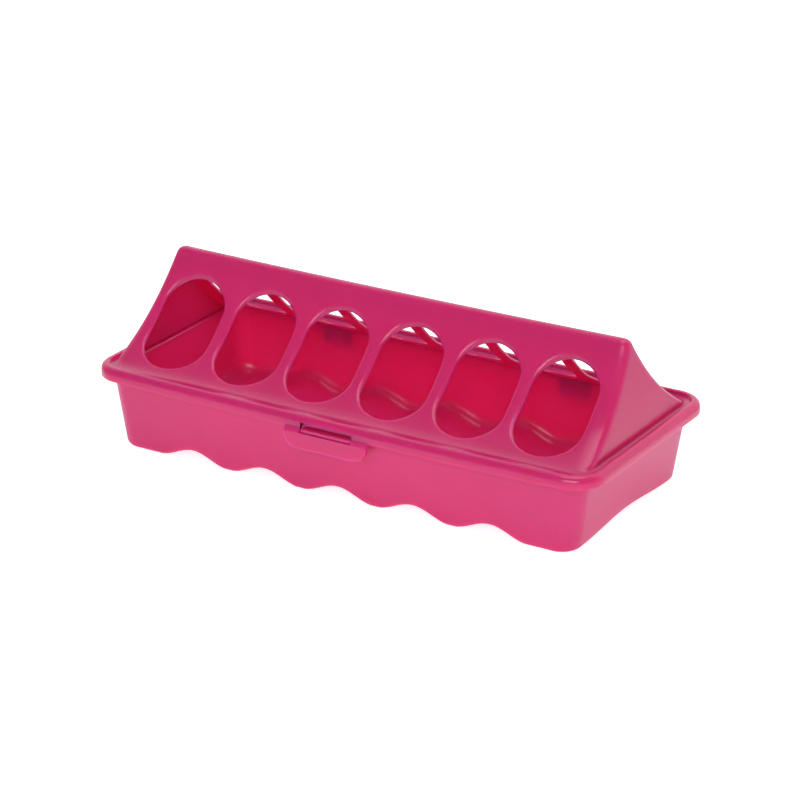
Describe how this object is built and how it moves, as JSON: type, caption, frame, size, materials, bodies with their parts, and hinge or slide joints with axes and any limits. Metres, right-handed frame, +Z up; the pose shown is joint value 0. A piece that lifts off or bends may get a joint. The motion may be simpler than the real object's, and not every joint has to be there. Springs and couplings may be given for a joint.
{
  "type": "feed trough",
  "caption": "Chick feed trough: a long plastic tray with a wavy bottom under a hinged tent-shaped lid with rows of feeding holes, held shut by a springy front latch.",
  "frame": {"origin": "on the ground, at the middle of the trough's footprint", "axes": "+X along the trough, -Y towards the front with the latch, +Z up"},
  "size_m": [0.3044, 0.1412, 0.0965],
  "materials": {
    "tray": "satin moulded polypropylene, crimson pink",
    "lid": "satin moulded polypropylene, crimson",
    "latch_tab": "satin moulded polypropylene, crimson"
  },
  "bodies": {
    "tray": {"tray": "tray"},
    "lid": {"lid": "lid"},
    "latch_tab": {"latch_tab": "latch_tab"}
  },
  "joints": [
    {"name": "lid_hinge", "type": "hinge", "parent": "tray", "child": "lid", "pos_m": [0, 0.06695, 0.0335], "axis": [-1, 0, 0], "range_deg": [0, 115]},
    {"name": "latch_flex", "type": "hinge", "parent": "lid", "child": "latch_tab", "pos_m": [0, -0.0694, 0.0439], "axis": [-1, 0, 0], "range_deg": [0, 20], "stiffness_Nm_per_rad": 0.4}
  ]
}
